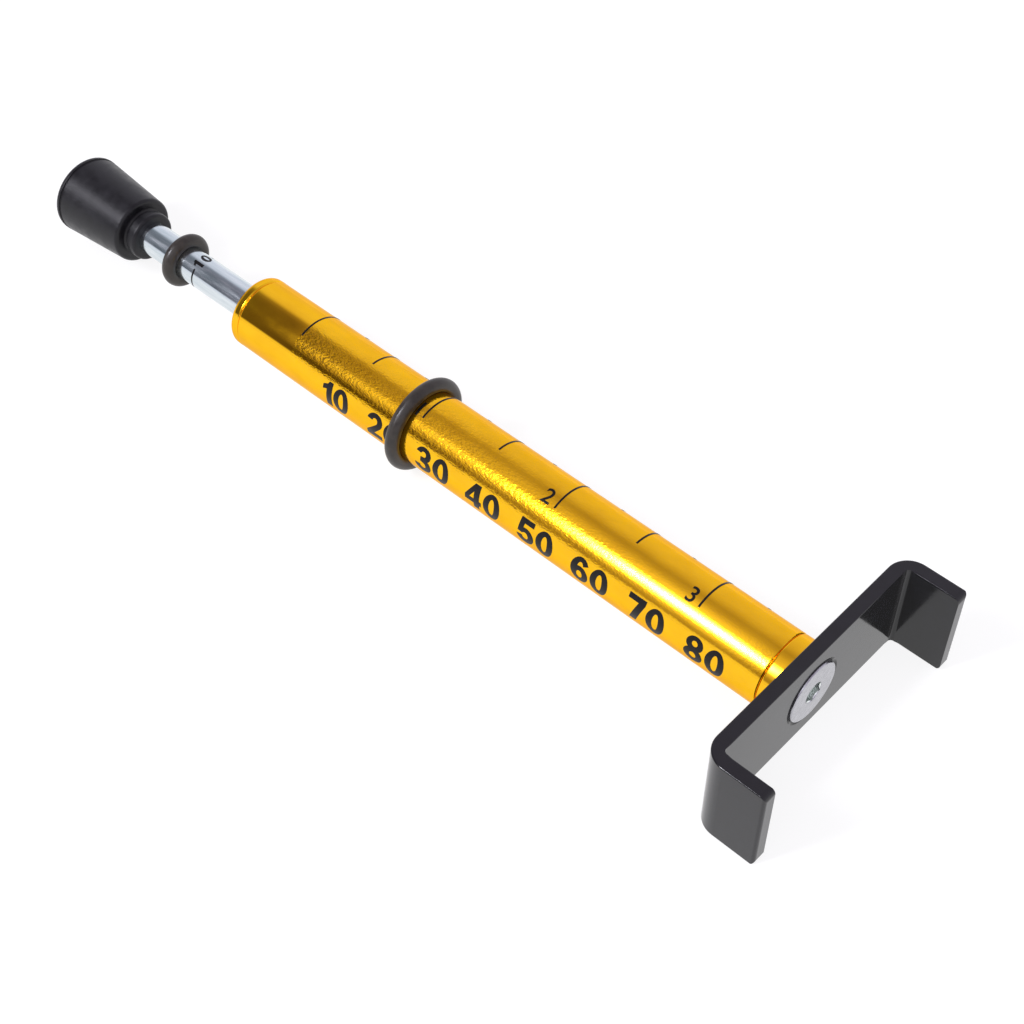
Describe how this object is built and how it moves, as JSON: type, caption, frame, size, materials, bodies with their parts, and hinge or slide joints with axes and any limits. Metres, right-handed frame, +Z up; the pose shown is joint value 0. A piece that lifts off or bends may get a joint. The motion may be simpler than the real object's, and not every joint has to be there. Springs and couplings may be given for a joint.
{
  "type": "belt tension tester",
  "caption": "Pencil-style belt tension tester: sprung plunger with a rubber push knob, gold graduated barrel, sliding marker rings and a U cradle that sits on the belt.",
  "frame": {"origin": "on the barrel's axis, at the cradle face that the belt lies against", "axes": "+X along the barrel from the knob to the belt, +Z up as the tool lies on a table, Y across the belt"},
  "size_m": [0.1576, 0.0432, 0.0154],
  "materials": {
    "gold_anodised": "bright gold anodised, printed scale",
    "black_paint": "glossy black paint",
    "plated_steel": "bright zinc plate",
    "bright_rod": "polished plate",
    "spring_steel": "oiled spring wire",
    "bronze": "turned bearing bronze",
    "nylon": "natural nylon",
    "knob_rubber": "moulded black rubber",
    "ring_rubber": "smooth black rubber"
  },
  "bodies": {
    "barrel": {"barrel": "gold_anodised", "guide_bush": "gold_anodised", "bush_liner": "bronze", "stop_washer": "nylon", "end_plug": "gold_anodised", "spring_seat": "plated_steel", "main_spring": "spring_steel", "cradle": "black_paint", "cradle_screw": "plated_steel"},
    "follower": {"follower": "bronze"},
    "plunger": {"plunger_rod": "bright_rod", "follower_clip": "spring_steel", "knob": "knob_rubber", "knob_washer": "plated_steel"},
    "force_ring": {"force_ring": "ring_rubber"},
    "deflection_ring": {"deflection_ring": "ring_rubber"}
  },
  "joints": [
    {"name": "plunger_press", "type": "slide", "parent": "barrel", "child": "follower", "axis": [1, 0, 0], "range_m": [0, 0.0125], "stiffness_N_per_m": 3200, "springref_m": -0.0013, "deforming": ["main_spring"]},
    {"name": "plunger_turn", "type": "hinge", "parent": "follower", "child": "plunger", "pos_m": [-0.0959, 0, 0], "axis": [1, 0, 0], "continuous": true},
    {"name": "force_ring_slide", "type": "slide", "parent": "plunger", "child": "force_ring", "axis": [1, 0, 0], "range_m": [-0.0069, 0.0035]},
    {"name": "deflection_ring_slide", "type": "slide", "parent": "barrel", "child": "deflection_ring", "axis": [1, 0, 0], "range_m": [-0.033, 0.067]}
  ]
}
